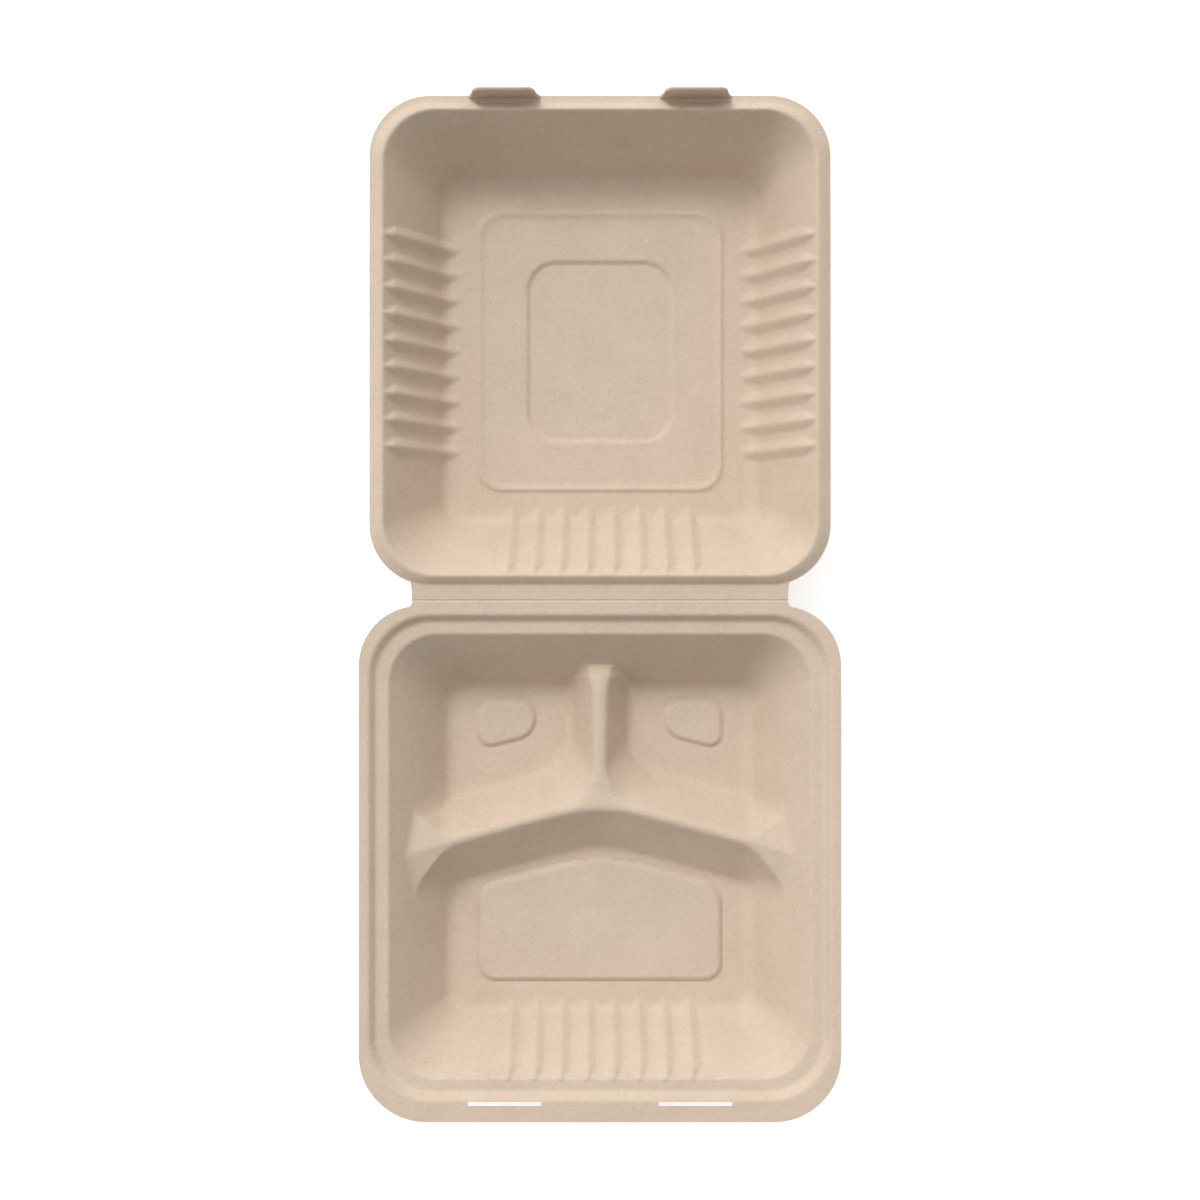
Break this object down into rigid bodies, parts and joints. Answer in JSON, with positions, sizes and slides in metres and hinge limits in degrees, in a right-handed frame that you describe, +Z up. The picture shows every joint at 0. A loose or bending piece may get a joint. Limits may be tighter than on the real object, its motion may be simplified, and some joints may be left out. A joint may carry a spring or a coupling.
{
  "type": "clamshell food container",
  "caption": "Square hinged takeaway box of moulded plant fibre, lying open: a compartment tray with a fork-shaped divider and a ribbed lid with locking tongues.",
  "frame": {"origin": "centre of the open container's bounding box, on the table it lies on", "axes": "+Z up, +X along the fold, +Y from the fold towards the lid's front edge; the compartment tray reaches to -Y"},
  "size_m": [0.222, 0.4722, 0.05],
  "materials": {
    "moulded_fibre": "matt, mottled, unbleached"
  },
  "bodies": {
    "base": {"base_tray": "moulded_fibre"},
    "lid": {"lid": "moulded_fibre"}
  },
  "joints": [
    {"name": "lid_hinge", "type": "hinge", "parent": "base", "child": "lid", "pos_m": [0, 0.0039, 0.03815], "axis": [1, 0, 0], "range_deg": [0, 180]}
  ]
}
